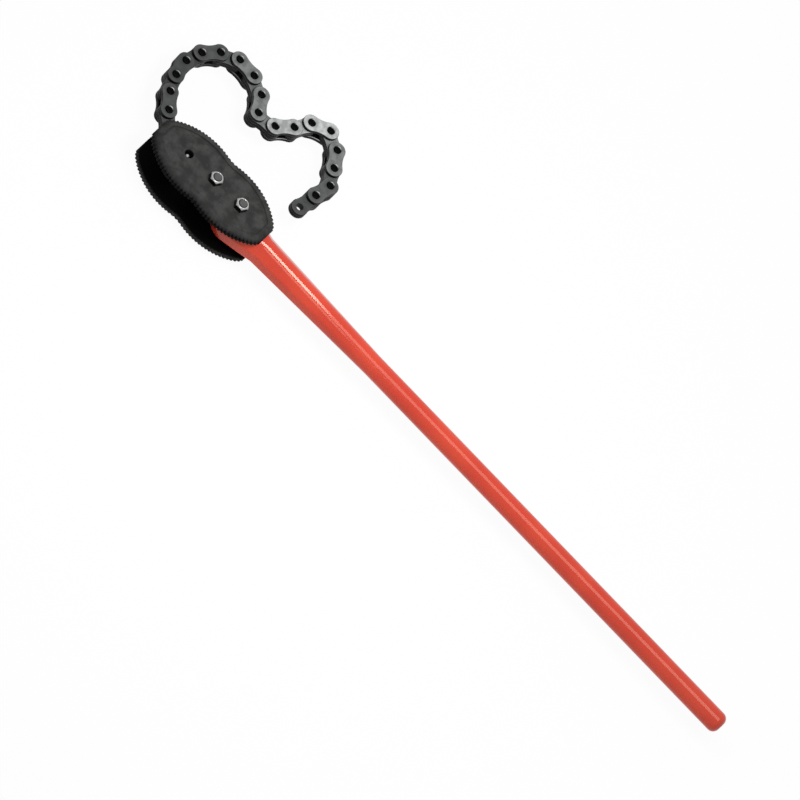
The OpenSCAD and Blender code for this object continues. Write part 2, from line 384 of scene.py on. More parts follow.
# Tint of the reflections on the enamel
WARM = (1.0, 0.82, 0.7, 1.0)


def feed(tree, socket, value):
    """Sets a socket to a value, or links it to another socket."""
    if isinstance(value, bpy.types.NodeSocket):
        tree.links.new(value, socket)
    else:
        socket.default_value = value


def group(name, inputs, outputs):
    """Starts a shader node group with named value sockets."""
    tree = bpy.data.node_groups.new(name, "ShaderNodeTree")
    for direction, labels in (("INPUT", inputs), ("OUTPUT", outputs)):
        for label in labels:
            tree.interface.new_socket(label, in_out=direction, socket_type="NodeSocketFloat")
    return tree, tree.nodes.new("NodeGroupInput"), tree.nodes.new("NodeGroupOutput")


def noise(tree, scale, detail):
    """Noise laid out along the piece itself."""
    place = tree.nodes.new("ShaderNodeTexCoord")
    made = tree.nodes.new("ShaderNodeTexNoise")
    made.inputs["Detail"].default_value = detail
    tree.links.new(scale, made.inputs["Scale"])
    tree.links.new(place.outputs["Object"], made.inputs["Vector"])
    return made.outputs["Fac"]


def maths(tree, operation, first, second):
    """Math node on two sockets or numbers."""
    made = tree.nodes.new("ShaderNodeMath")
    made.operation = operation
    feed(tree, made.inputs[0], first)
    feed(tree, made.inputs[1], second)
    return made.outputs[0]


def mapped(tree, value, kind, bounds, low, high):
    """Map range node with a low and a high bound."""
    made = tree.nodes.new("ShaderNodeMapRange")
    made.interpolation_type = kind
    tree.links.new(value, made.inputs["Value"])
    made.inputs[bounds + " Min"].default_value = low
    made.inputs[bounds + " Max"].default_value = high
    return made.outputs["Result"]


def ramp(tree, value, low, high):
    """Smooth step from 0 at low to 1 at high."""
    return mapped(tree, value, "SMOOTHSTEP", "From", low, high)


def between(tree, factor, low, high):
    """Number that goes from low to high with a factor."""
    return mapped(tree, factor, "LINEAR", "To", low, high)


def build_patches():
    """Group: large soft patches and small speckle."""
    tree, given, result = group("Patches", [label + " scale" for label in MASKS], MASKS)
    for label, (detail, low, high) in MASKS.items():
        value = noise(tree, given.outputs[label + " scale"], detail)
        tree.links.new(ramp(tree, value, low, high), result.inputs[label])


def build_wear():
    """Group: broken wear along the marked edges."""
    tree, given, result = group("Edge wear", ("Edge", "Scale", "Reach"), ("Wear",))
    broken = noise(tree, given.outputs["Scale"], WEAR_DETAIL)
    pushed = maths(tree, "MULTIPLY", given.outputs["Edge"], given.outputs["Reach"])
    total = maths(tree, "ADD", broken, pushed)
    tree.links.new(ramp(tree, total, WEAR_START, WEAR_FULL), result.inputs["Wear"])


def build_relief():
    """Group: height of forged or sprayed surface, from coarse waves and fine grain."""
    inputs = ("Wave scale", "Wave height", "Grain scale", "Grain height")
    tree, given, result = group("Relief", inputs, ("Height",))
    parts = []
    for kind in ("Wave", "Grain"):
        value = noise(tree, given.outputs[kind + " scale"], RELIEF_DETAIL)
        parts.append(maths(tree, "MULTIPLY", value, given.outputs[kind + " height"]))
    tree.links.new(maths(tree, "ADD", *parts), result.inputs["Height"])


def use(tree, name, **values):
    """Places a shader group in a material, with its values or links."""
    made = tree.nodes.new("ShaderNodeGroup")
    made.node_tree = bpy.data.node_groups[name]
    for label, value in values.items():
        feed(tree, made.inputs[label.replace("_", " ")], value)
    return made.outputs


def mark(tree, name):
    """Reads a mark that the mesh carries."""
    made = tree.nodes.new("ShaderNodeAttribute")
    made.attribute_name = name
    return made.outputs["Fac"]


def mixed(tree, factor, first, second):
    """Colour between two colours or sockets."""
    made = tree.nodes.new("ShaderNodeMix")
    made.data_type = "RGBA"
    tree.links.new(factor, made.inputs["Factor"])
    for value, label in ((first, "A"), (second, "B")):
        socket = next(s for s in made.inputs if s.name == label and s.type == "RGBA")
        feed(tree, socket, value if isinstance(value, bpy.types.NodeSocket) else (*value, 1.0))
    return next(s for s in made.outputs if s.type == "RGBA")


def patches(tree, mask, scale):
    """Mask of soft patches or of speckle at a scale."""
    return use(tree, "Patches", **{mask + "_scale": scale})[mask]


def rubbed(tree, base, steel, scale, reach, share):
    """Colour with broken wear along the marked edges."""
    wear = use(tree, "Edge wear", Edge=mark(tree, EDGE_MARK), Scale=scale, Reach=reach)["Wear"]
    return mixed(tree, maths(tree, "MULTIPLY", wear, share), base, steel)


def start_finish(name, **plain):
    """Starts a material with plain values on the shader itself."""
    made = bpy.data.materials.new(name)
    made.use_nodes = True
    for label, value in plain.items():
        shader_input(made.node_tree, label.replace("_", " ")).default_value = value
    return made.node_tree


def shader_input(tree, label):
    """Socket of a material's shader."""
    return tree.nodes["Principled BSDF"].inputs[label]


def paint(tree, colour, grime):
    """Gives a material its colour, with painted shade over it where the mesh is marked for it."""
    shaded = mixed(tree, mark(tree, PAINTED_SHADE_MARK), colour, grime)
    tree.links.new(shaded, shader_input(tree, "Base Color"))


def roughen(tree, mask, scale, low, high):
    """Gives a material a roughness between two values, after a mask at a scale."""
    tree.links.new(between(tree, patches(tree, mask, scale), low, high), shader_input(tree, "Roughness"))


def emboss(tree, strength, wave, grain):
    """Gives a material its relief of waves and grain, with a scale and a height for each."""
    relief = {"Wave_scale": wave[0], "Wave_height": wave[1]}
    relief |= {"Grain_scale": grain[0], "Grain_height": grain[1]}
    made = tree.nodes.new("ShaderNodeBump")
    made.inputs["Strength"].default_value = strength
    made.inputs["Distance"].default_value = MM
    tree.links.new(use(tree, "Relief", **relief)["Height"], made.inputs["Height"])
    tree.links.new(made.outputs["Normal"], shader_input(tree, "Normal"))


def enamel_finish(colours):
    """Red enamel sprayed over the forging."""
    tree = start_finish("red_enamel", Specular_IOR_Level=0.42, Specular_Tint=WARM)
    base = mixed(tree, patches(tree, "Patch", scale=18.0), colours.enamel, colours.enamel_deep)
    paint(tree, base, colours.grime)
    roughen(tree, "Speckle", scale=900.0, low=0.08, high=0.11)
    emboss(tree, strength=0.04, wave=(45.0, 0.5), grain=(420.0, 0.12))


def jaw_finish(colours):
    """Blackened forged steel, rubbed on the faces, with painted shade between the teeth, on the inner face and
    along the lower rim.
    """
    tree = start_finish("blackened_jaw_steel", Specular_IOR_Level=0.04)
    broken = between(tree, patches(tree, "Speckle", scale=600.0), low=0.6, high=1.0)
    amount = maths(tree, "MULTIPLY", patches(tree, "Patch", scale=70.0), broken)
    base = mixed(tree, amount, colours.jaw_dark, colours.jaw_light)
    wear_and_sheen = rubbed(tree, base, colours.bare, scale=350.0, reach=0.5, share=0.35)
    paint(tree, wear_and_sheen, colours.grime)
    roughen(tree, "Speckle", scale=800.0, low=0.5, high=0.68)
    emboss(tree, strength=0.35, wave=(90.0, 0.6), grain=(900.0, 0.25))


def plate_finish(colours):
    """Stamped link steel, dark with oil, with a painted sheen that makes single links lighter."""
    tree = start_finish("oiled_link_steel", Specular_IOR_Level=0.1)
    # Painted sheen of single links, read from their mark
    base = mixed(tree, mark(tree, SHEEN_MARK), colours.chain_dark, colours.chain_sheen)
    oiled = between(tree, patches(tree, "Patch", scale=140.0), low=0.0, high=0.35)
    base = mixed(tree, oiled, base, colours.chain_dark)
    wear_and_sheen = rubbed(tree, base, colours.bare, scale=500.0, reach=0.55, share=0.45)
    paint(tree, wear_and_sheen, colours.grime)
    roughen(tree, "Patch", scale=120.0, low=0.38, high=0.52)
    emboss(tree, strength=0.3, wave=(160.0, 0.35), grain=(1600.0, 0.2))


def pin_finish(colours):
    """Black oxide on the pins, with a painted glint on the lit side of their rims."""
    tree = start_finish("black_oxide_pins", Specular_IOR_Level=0.02)
    wear_and_sheen = rubbed(tree, colours.pin_black, colours.rubbed, scale=700.0, reach=0.7, share=1.0)
    paint(tree, wear_and_sheen, colours.grime)
    roughen(tree, "Speckle", scale=1500.0, low=0.18, high=0.3)
    emboss(tree, strength=0.2, wave=(300.0, 0.2), grain=(2000.0, 0.15))


def zinc_finish(colours):
    """Bright zinc plating, dull in small patches."""
    tree = start_finish("bright_zinc", Metallic=1.0)
    dull = between(tree, patches(tree, "Patch", scale=260.0), low=0.0, high=0.3)
    paint(tree, mixed(tree, dull, colours.zinc, colours.bare), colours.grime)
    roughen(tree, "Speckle", scale=1500.0, low=0.2, high=0.34)
    emboss(tree, strength=0.2, wave=(240.0, 0.15), grain=(1800.0, 0.12))


def bolt_finish(colours):
    """Dull bolt steel, with painted shade in the thread."""
    tree = start_finish("dull_bolt_steel", Specular_IOR_Level=0.4)
    base = mixed(tree, patches(tree, "Patch", scale=320.0), colours.jaw_light, colours.bolt_grey)
    paint(tree, base, colours.grime)
    roughen(tree, "Speckle", scale=1500.0, low=0.35, high=0.5)
    emboss(tree, strength=0.2, wave=(300.0, 0.2), grain=(1800.0, 0.15))


class WRENCH_OT_finishes(bpy.types.Operator):
    """Builds the shader groups and the materials of the tool"""

    bl_idname = "wrench.finishes"
    bl_label = "Finishes"

    def execute(self, context):
        build_patches()
        build_wear()
        build_relief()
        for make in (enamel_finish, jaw_finish, plate_finish, pin_finish, zinc_finish, bolt_finish):
            make(context.scene.wrench_finishes)
        return {"FINISHED"}


# Handle

CORNER_STEPS = 6
BUTT_STEPS = 10
GRIP_STEPS = 24
NECK_STEPS = 16
SPADE_STEPS = 26
NOSE_STEPS = 24
SPADE_HOLE_SIDES = 40
HANDLE_SHARP = 60.0
# Largest share of a chamfer that the rounding of one of its ridges takes
FACET_SHARE = 0.45
# Least width of a face of the spade, and the distance within which corners are joined
THIN = 0.02 * MM
WELD_GAP = 0.002 * MM


def rounded_corners(wide, flat_z, top_w, thick, sizes):
    """Corner arcs of an eight-sided section: centre, radius, first and last direction of each."""
    slope = math.atan2(wide - top_w, thick - flat_z)
    facet = FACET_SHARE * math.hypot(wide - top_w, thick - flat_z)
    side_tan = math.tan(slope / 2)
    ridge_tan = math.tan((math.pi / 2 - slope) / 2)
    side_r = min(sizes.side_round, wide, facet / side_tan)
    ridge_r = min(sizes.ridge_round, top_w / ridge_tan, facet / ridge_tan)
    side = (wide - side_r, flat_z - side_r * side_tan, side_r)
    ridge = (top_w - ridge_r * ridge_tan, thick - ridge_r, ridge_r)
    quarter = ((*side, 0.0, slope), (*ridge, slope, math.pi / 2))
    half = quarter + tuple((-y, z, r, math.pi - b, math.pi - a) for y, z, r, a, b in reversed(quarter))
    return half + tuple((-y, -z, r, a + math.pi, b + math.pi) for y, z, r, a, b in half)


def section(x, corners, share, round_r):
    """Ring square to X between a round bar (share 0) and the eight-sided section (share 1)."""
    points = []
    for y, z, r, first, last in corners:
        radius = r * share + round_r * (1 - share)
        for i in range(CORNER_STEPS + 1):
            a = first + (last - first) * i / CORNER_STEPS
            points.append(Vector((x, y * share + radius * math.cos(a), z * share + radius * math.sin(a))))
    return points


def hull_half_width(x, end, lobe):
    """Half width at x of the hull of a flat end (place, half width) and a round lobe (place, radius)."""
    widths = []
    for degrees in range(1, 180):
        a = math.radians(degrees)
        reach = max(end[0] * math.cos(a) + end[1] * math.sin(a), lobe[0] * math.cos(a) + lobe[1])
        widths.append((reach - x * math.cos(a)) / math.sin(a))
    return min(widths)


def mark_spade_shade(made, sizes):
    """Marks painted shade that grows from the neck to the nose between the jaws."""
    clean = MIDDLE.x + sizes.neck_start + sizes.shade_reach
    black = MIDDLE.x + sizes.shade_end
    shading = [limited((clean - vert.co.x) / (clean - black)) ** 2 for vert in made.data.vertices]
    mark_points(made, PAINTED_SHADE_MARK, shading)


def grip_stations(sizes, bar_r):
    """Places and radii of the rings from the butt face to the start of the neck."""
    grip_end = BUTT_END - sizes.butt_round
    neck_end = MIDDLE.x + sizes.neck_reach
    for i in range(BUTT_STEPS + 1):
        a = math.pi / 2 * (1 - i / BUTT_STEPS)
        drawn = sizes.butt_round * (1 - math.cos(a))
        yield grip_end + sizes.butt_round * math.sin(a), bar_r - drawn
    for i in range(1, GRIP_STEPS + 1):
        yield grip_end + (neck_end - grip_end) * i / GRIP_STEPS, bar_r


def spade_stations(sizes):
    """Places of the rings from the neck to the round end of the spade."""
    start = MIDDLE.x + sizes.neck_start
    lobe_x, lobe_r = spade_lobe(sizes)
    spade_end = MIDDLE.x + lobe_x - lobe_r
    for i in range(1, SPADE_STEPS + 1):
        yield start + (spade_end - start) * math.sin(math.pi / 2 * i / SPADE_STEPS)


def spade_lobe(sizes):
    """Place along the handle and radius of the round end of the spade."""
    return HOLE_GAP + sizes.spade_shift, SPADE_W / 2 + sizes.spade_swell


def spade_corners(sizes, along):
    """Section of the spade, whose plan is the hull of the neck end and a round lobe."""
    lobe = spade_lobe(sizes)
    top_lobe = lobe[0], lobe[1] - sizes.chamfer_w
    neck_end = sizes.neck_start, sizes.neck_w / 2
    neck_top = sizes.neck_start, sizes.neck_w / 2 - sizes.chamfer_w
    wide = max(hull_half_width(along, neck_end, lobe), 2 * THIN)
    top_w = min(max(hull_half_width(along, neck_top, top_lobe), THIN), wide - THIN)
    past_flat = max(0.0, top_lobe[0] - top_lobe[1] - along)
    thick = SPADE_T / 2 - past_flat * sizes.chamfer_h / sizes.chamfer_w
    flat_z = SPADE_T / 2 - sizes.chamfer_h
    return rounded_corners(wide, flat_z, top_w, max(thick, flat_z + THIN), sizes)


def nose_mesh(sizes):
    """Mesh of the nose: a slot-shaped block between the two bolts, chamfered above and below."""
    high = SPADE_T / 2
    radius = sizes.nose_w / 2
    profile = ((radius - sizes.nose_chamfer, high), (radius, high - sizes.chamfer_h))
    profile += tuple((r, -z) for r, z in reversed(profile))
    bm = bmesh.new()
    close(bm, [add_ring(bm, slot_ring(r, z)) for r, z in profile])
    return bm


def slot_ring(radius, z):
    """Ring of a slot shape about the tail bolt and the middle bolt."""
    points = []
    for bolt, start in ((TAIL, -math.pi / 2), (MIDDLE, math.pi / 2)):
        for i in range(NOSE_STEPS + 1):
            points.append(polar(radius, start + math.pi * i / NOSE_STEPS, z, (bolt.x, 0.0)))
    return points


def hole_mesh(sizes, place):
    """Mesh that cuts a bolt hole through the spade."""
    bm = bmesh.new()
    radius = sizes.hole_d / 2
    close(bm, [add_ring(bm, circle(radius, z, SPADE_HOLE_SIDES, place)) for z in (-SPADE_T, SPADE_T)])
    return bm


class WRENCH_OT_handle(bpy.types.Operator):
    """Lofts the forged handle from its butt to the nose of the spade"""

    bl_idname = "wrench.handle"
    bl_label = "Handle"

    def execute(self, context):
        sizes = context.scene.wrench_handle
        bm = bmesh.new()
        bar_r = sizes.bar_d / 2
        thick_end = spade_corners(sizes, sizes.neck_start)
        rings = []
        for x, radius in grip_stations(sizes, bar_r):
            rings.append(add_ring(bm, section(x, thick_end, 0.0, radius)))
        for share in (i / NECK_STEPS for i in range(1, NECK_STEPS + 1)):
            x = MIDDLE.x + sizes.neck_reach + (sizes.neck_start - sizes.neck_reach) * share
            rings.append(add_ring(bm, section(x, thick_end, share, bar_r)))
        for x in spade_stations(sizes):
            rings.append(add_ring(bm, section(x, spade_corners(sizes, x - MIDDLE.x), 1.0, bar_r)))
        close(bm, rings)
        bmesh.ops.remove_doubles(bm, verts=bm.verts, dist=WELD_GAP)
        made = piece("enamelled_handle", bm, ROOT_BODY, ENAMEL, "handle", sharp=HANDLE_SHARP)
        combine(made, nose_mesh(sizes), "UNION")
        for place in (MIDDLE, TAIL):
            combine(made, hole_mesh(sizes, place), "DIFFERENCE")
        mark_spade_shade(made, sizes)
        return {"FINISHED"}


# Jaws

JAW_HOLE_SIDES = 40
JAW_HOLE_EDGE = 0.6 * MM
# Distance from an edge to the ring where its painted shade ends
JAW_MARGIN = 1.2 * MM
# Points of a tooth: share of the tooth spacing, and share of the tooth depth
TOOTH_POINTS = ((0.0, 1.0), (0.36, 0.0), (0.64, 0.0))
# Share of the jaw's width over which the painted shade changes from the upper to the lower rim
SHADE_SPREAD = 0.7
JAW_HOLE_WEAR = 0.3
JAW_HOLE_SHADE = (0.0, 0.6, 1.0, 1.0)


def jaw_ring(sizes, inset, depth, z, climb):
    """Ring round a jaw: each tooth has a root and two crest points; inset moves the ring inwards."""
    tip_x = JAW_SIZE.x / 2 + sizes.tip_cut - sizes.tip_r
    flat_x = JAW_SIZE.x / 2 - inset
    run = tip_x - sizes.lobe_x
    rise = JAW_SIZE.y / 2 - sizes.tip_r
    tip_turn = math.pi / 2 - 2 * math.atan(rise / run)
    extra = run / math.cos(tip_turn)
    side_r = sizes.tip_r + extra
    side_y = -extra * math.sin(tip_turn)
    waist_y = side_y + math.sqrt((side_r + sizes.waist_r) ** 2 - sizes.lobe_x**2)
    waist_turn = math.asin(sizes.lobe_x / (side_r + sizes.waist_r))
    side_span = math.pi / 2 + waist_turn - tip_turn
    low = 1.5 * math.pi
    arcs = (
        (tip_x, 0.0, sizes.tip_r, 1, -tip_turn, tip_turn),
        (sizes.lobe_x, side_y, side_r, 1, tip_turn, tip_turn + side_span),
        (0.0, waist_y, sizes.waist_r, -1, low + waist_turn, low - waist_turn),
        (-sizes.lobe_x, side_y, side_r, 1, math.pi - tip_turn - side_span, math.pi - tip_turn),
    )
    half = []
    for x, y, radius, sign, start, end in arcs:
        teeth = round(abs(end - start) * radius / sizes.tooth_gap)
        for i in range(teeth):
            for share, root in TOOTH_POINTS:
                a = start + (end - start) * (i + share) / teeth
                point = polar(radius - sign * (inset + depth * root), a, z + climb * root, (x, y))
                point.x = min(max(point.x, -flat_x), flat_x)
                half.append(point)
    return half + [Vector((-p.x, -p.y, p.z)) for p in half]


def rim_shade(upper, lower):
    """Painted shade that goes from one amount on the upper rim of a jaw to another on the lower rim."""
    spread = SHADE_SPREAD * JAW_SIZE.y
    return lambda p: lower + (upper - lower) * limited(0.5 + p.y / spread)


def jaw_mesh(sizes):
    """Mesh of one jaw on the front side of the gap."""
    low = INNER_Z
    high = FACE_Z
    deep = sizes.tooth_depth
    bevel = sizes.bevel_w
    margin = JAW_MARGIN
    slope = sizes.bevel_h / bevel
    shoulder = high - sizes.bevel_h
    # Inset, tooth depth, height, climb to the tooth roots, edge mark and painted shade of each ring; the painted
    # shade is dark on the inner face, on the side walls and bevel of the lower rim, and in a line inside the upper
    # bevel
    rows = (
        (bevel + 2 * margin, 0.0, high, 0.0, 0.0, 0.0),
        (bevel, 0.0, high, 0.0, 0.2, rim_shade(0.7, 0.1)),
        (bevel - margin, 0.0, high - slope * margin, 0.0, 0.0, rim_shade(0.1, 0.0)),
        (bevel / 2, 0.0, high - slope * bevel / 2, 0.0, 0.0, rim_shade(0.0, 0.3)),
        (0.0, deep, shoulder, slope * deep, 0.4, rim_shade(0.3, 0.95)),
        (0.0, deep, shoulder - margin, 0.0, 0.1, rim_shade(0.1, 0.95)),
        (0.0, deep, low + margin, 0.0, 0.1, rim_shade(0.1, 1.0)),
        (0.0, deep, low, 0.0, 0.1, rim_shade(0.3, 1.0)),
        (deep + margin, 0.0, low, 0.0, 0.0, 1.0),
    )
    bm = bmesh.new()
    rim = [add_ring(bm, jaw_ring(sizes, *place), edge, shading) for *place, edge, shading in rows]
    hole = (sizes.hole_d / 2, JAW_HOLE_EDGE, JAW_HOLE_SIDES, (low, high), JAW_HOLE_WEAR, JAW_HOLE_SHADE)
    bores = [bore(bm, x, *hole) for x in (-HOLE_GAP, 0.0, HOLE_GAP)]
    close_plate(bm, rim, bores)
    return bm


class WRENCH_OT_jaws(bpy.types.Operator):
    """Builds the two double-ended jaws with their teeth, bevels and holes"""

    bl_idname = "wrench.jaws"
    bl_label = "Jaws"

    def execute(self, context):
        sizes = context.scene.wrench_jaws
        for node, turn in (("front_jaw", 0.0), ("rear_jaw", math.pi)):
            place = Matrix.Translation(Vector((MIDDLE.x, 0.0, 0.0))) @ Matrix.Rotation(turn, 4, "X")
            made = piece("toothed_" + node, jaw_mesh(sizes), ROOT_BODY, JAW_STEEL, node, place)
            soften(made, sizes.edge_round)
        return {"FINISHED"}


# Fasteners

HEX_SIDES = 72
ANCHOR_SIDES = 48
DOME_STEPS = 14
THREAD_STEPS = 6
THREAD_UNDER = 2 * MM
LAST_CREST = 0.2 * MM
CORNER_LINE = 0.3 * MM
NUT_PLAY = 0.01 * MM
FASTENER_ROUND = 0.15 * MM
END_CHAMFER = 0.8 * MM
COUNTERSINK = 0.7 * MM
# Flat face of a nut or head as a share of its width over the flats
FACE_SHARE = 0.86
# Painted glint on the anchor pin: place, radius, and share of the radius that is free of painted shade
GLINT_Y = 1.6 * MM
GLINT_R = 1.5 * MM
GLINT_CORE = 0.5
NUT_SOFT = 25.0
BOLT_SOFT = 50.0


def hexagon(flats, z_of):
    """Ring of a hexagon square to Z, with a height for each distance from the middle."""
    points = []
    for i in range(HEX_SIDES):
        a = math.tau * i / HEX_SIDES
        folded = (a + math.pi / 6) % (math.pi / 3) - math.pi / 6
        reach = flats / 2 / math.cos(math.pi / 6 - abs(folded))
        points.append(polar(reach, a, z_of(reach)))
    return points


def thread(radius, depth, pitch, z):
    """Ring through a screw thread at one height."""
    points = []
    for share in (i / HEX_SIDES for i in range(HEX_SIDES)):
        phase = (z / pitch - share) % 1.0
        points.append(polar(radius - depth * (1 - abs(2 * phase - 1)), math.tau * share, z))
    return points


def dome(radius, rise, top):
    """Radii and heights of a shallow dome from its rim to its crown."""
    ball = (radius**2 + rise**2) / (2 * rise)
    spread = math.asin(radius / ball)
    for i in range(DOME_STEPS):
        a = spread * (1 - i / DOME_STEPS)
        yield ball * math.sin(a), top - ball * (1 - math.cos(a))


def anchor_mesh(sizes):
    """Mesh of the anchor pin, domed at both ends, dark with painted shade apart from a painted glint on each dome.
    """
    size = extent("anchor_pin")
    half = list(dome(size.x / 2, sizes.anchor_dome, size.z / 2))
    glint_place = Vector((0.0, -GLINT_Y))

    def shading(p):
        """Painted shade that is full away from the painted glint."""
        return limited((p.xy - glint_place).length / GLINT_R - GLINT_CORE)

    bm = bmesh.new()
    profile = [(r, -z) for r, z in reversed(half)] + half
    close(bm, [add_ring(bm, circle(r, z, ANCHOR_SIDES), 1.0, shading) for r, z in profile])
    return bm


def turned(sizes, high, sign):
    """Radius of the flat face of a nut or head at high, and the height of its turned corners."""
    face_r = NUT_SIZE.y / 2 * FACE_SHARE
    corner = NUT_SIZE.y / 2 / math.cos(math.pi / 6)
    slope = sizes.corner_turn / (corner - face_r)
    return face_r, lambda reach: high - sign * slope * (reach - face_r)


def nut_mesh(sizes):
    """Mesh of a nut lying on the front jaw."""
    flats = NUT_SIZE.y
    low = FACE_Z
    high = FACE_Z + NUT_SIZE.z
    hole_r = sizes.bolt_d / 2 + NUT_PLAY
    sink = COUNTERSINK
    face_r, fall = turned(sizes, high, 1)
    # Points, edge mark and painted shade of each ring, dark in the bore and on the sides
    rows = (
        (circle(hole_r, low + sink, HEX_SIDES), 0.0, 1.0),
        (circle(hole_r + sink, low, HEX_SIDES), 0.0, 1.0),
        (hexagon(flats, lambda reach: low), 0.2, 0.9),
        (hexagon(flats, lambda reach: fall(reach) - CORNER_LINE), 0.2, 0.95),
        (hexagon(flats, fall), 0.6, 0.6),
        (circle(face_r, high, HEX_SIDES), 0.6, 0.0),
        (circle(hole_r + sink, high, HEX_SIDES), 0.4, 0.0),
        (circle(hole_r, high - sink, HEX_SIDES), 0.0, 0.9),
    )
    bm = bmesh.new()
    rings = [add_ring(bm, *row) for row in rows]
    stack(bm, rings)
    bridge(bm, rings[-1], rings[0])
    return bm


def bolt_mesh(sizes):
    """Mesh of a bolt from its head under the rear jaw to its threaded end."""
    flats = NUT_SIZE.y
    low = BOLT_LOW.z
    radius = sizes.bolt_d / 2
    full_end = BOLT_HIGH.z - END_CHAMFER
    start = FACE_Z - THREAD_UNDER
    face_r, fall = turned(sizes, low, -1)
    # Points, edge mark and painted shade of each ring
    rows = [
        (circle(face_r, low, HEX_SIDES), 0.4, 0.0),
        (hexagon(flats, fall), 0.6, 0.1),
        (hexagon(flats, lambda reach: -FACE_Z), 0.2, 0.6),
        (circle(radius, -FACE_Z, HEX_SIDES), 0.0, 0.8),
        (circle(radius, start, HEX_SIDES), 0.0, 0.5),
    ]
    steps = int((full_end - start) / sizes.thread_pitch * THREAD_STEPS)
    for i in range(1, steps):
        z = start + (full_end - start) * i / steps
        rows.append((thread(radius, sizes.thread_depth, sizes.thread_pitch, z), 0.2, 0.3))
    rows.append((circle(radius - LAST_CREST, full_end, HEX_SIDES), 0.5, 0.1))
    rows.append((circle(radius - END_CHAMFER, BOLT_HIGH.z, HEX_SIDES), 0.3, 0.1))
    bm = bmesh.new()
    close(bm, [add_ring(bm, *row) for row in rows])
    return bm


class WRENCH_OT_fasteners(bpy.types.Operator):
    """Builds the bolts and nuts of the jaws and the anchor pin"""

    bl_idname = "wrench.fasteners"
    bl_label = "Bolts and nuts"

    def execute(self, context):
        sizes = context.scene.wrench_fasteners
        for kind, place in (("middle", MIDDLE), ("tail", TAIL)):
            at = Matrix.Translation(Vector((place.x, place.y, 0.0)))
            nut = piece(kind + "_hex_nut", nut_mesh(sizes), ROOT_BODY, ZINC, kind + "_nut", at)
            soften(nut, FASTENER_ROUND, NUT_SOFT)
            bolt = piece(kind + "_hex_bolt", bolt_mesh(sizes), ROOT_BODY, BOLT_STEEL, kind + "_bolt", at)
            soften(bolt, FASTENER_ROUND, BOLT_SOFT)
        at = Matrix.Translation(Vector((ANCHOR.x, ANCHOR.y, 0.0)))
        piece("domed_anchor_pin", anchor_mesh(sizes), ROOT_BODY, PIN_STEEL, "anchor_pin", at)
        return {"FINISHED"}


# Chain

END_STEPS = 30
SIDE_STEPS = 10
PLATE_HOLE_SIDES = 36
PLATE_HOLE_EDGE = 0.35 * MM
PLATE_MARGIN = 0.9 * MM
SHACKLE_ROUND = 0.6 * MM
SHACKLE_WELD = 0.01 * MM
PIN_SIDES = 40
# Play of a pin in the plates that turn on it and that hold it, and play between plates
RUN_PLAY = 0.12 * MM
PRESS_PLAY = 0.02 * MM
SIDE_PLAY = 0.3 * MM
RIVET_CHAMFER = 0.8 * MM
# Share of the rivet's chamfer at which its edge breaks
CHAMFER_BREAK = 0.3
# Shares of the dish's radius half way down and at its floor
DISH_WALL = 0.9
DISH_FLOOR = 0.5
# Places along the chain where single links get a painted sheen of lighter steel: link number, spread in links and
# amount
SHEEN_LINKS = ((13.2, 1.7, 1.0), (8.5, 1.0, 0.22), (1.0, 1.0, 0.1))
# Painted sheen of an inner link as a share of an outer link's
INNER_SHEEN = 0.8
RIM_WEAR = 0.3
PLATE_HOLE_WEAR = 0.2
PLATE_HOLE_SHADE = 0.9
# Least painted shade on the edge of a plate's hole
HOLE_EDGE_SHADE = 0.2
# Degrees of a plate's rounding at which its painted shade is full
SHADE_TURN = 60
# How narrow the painted glint on a pin end is
GLINT_POWER = 4


def chain_places():
    """Pin places from the anchor pin to the eye of the end link, in order along the chain."""
    places = [Vector(joint["pos_m"]) for joint in frame["joints"]]
    eye = next(m for m in frame["record"]["mounts"] if m["name"] == "chain_end_eye")
    return places + [Vector(eye["pos_m"])]


def plate_ring(sizes, pitch, inset, z):
    """Ring round a link plate: a round end and a hollow side, twice over."""
    end_r = sizes.plate_w / 2
    waist = sizes.plate_waist / 2
    hollow_r = ((pitch / 2) ** 2 + waist**2 - end_r**2) / (sizes.plate_w - sizes.plate_waist)
    hollow = (pitch / 2, hollow_r + waist)
    turn = math.atan2(hollow[1], -pitch / 2)
    half = []
    for i in range(END_STEPS):
        a = -turn + 2 * turn * i / END_STEPS
        half.append(polar(end_r - inset, a, z, (pitch, 0.0)))
    for i in range(SIDE_STEPS):
        a = turn + math.pi + (math.pi - 2 * turn) * i / SIDE_STEPS
        half.append(polar(hollow_r + inset, a, z, hollow))
    return half + [Vector((pitch - p.x, -p.y, z)) for p in half]


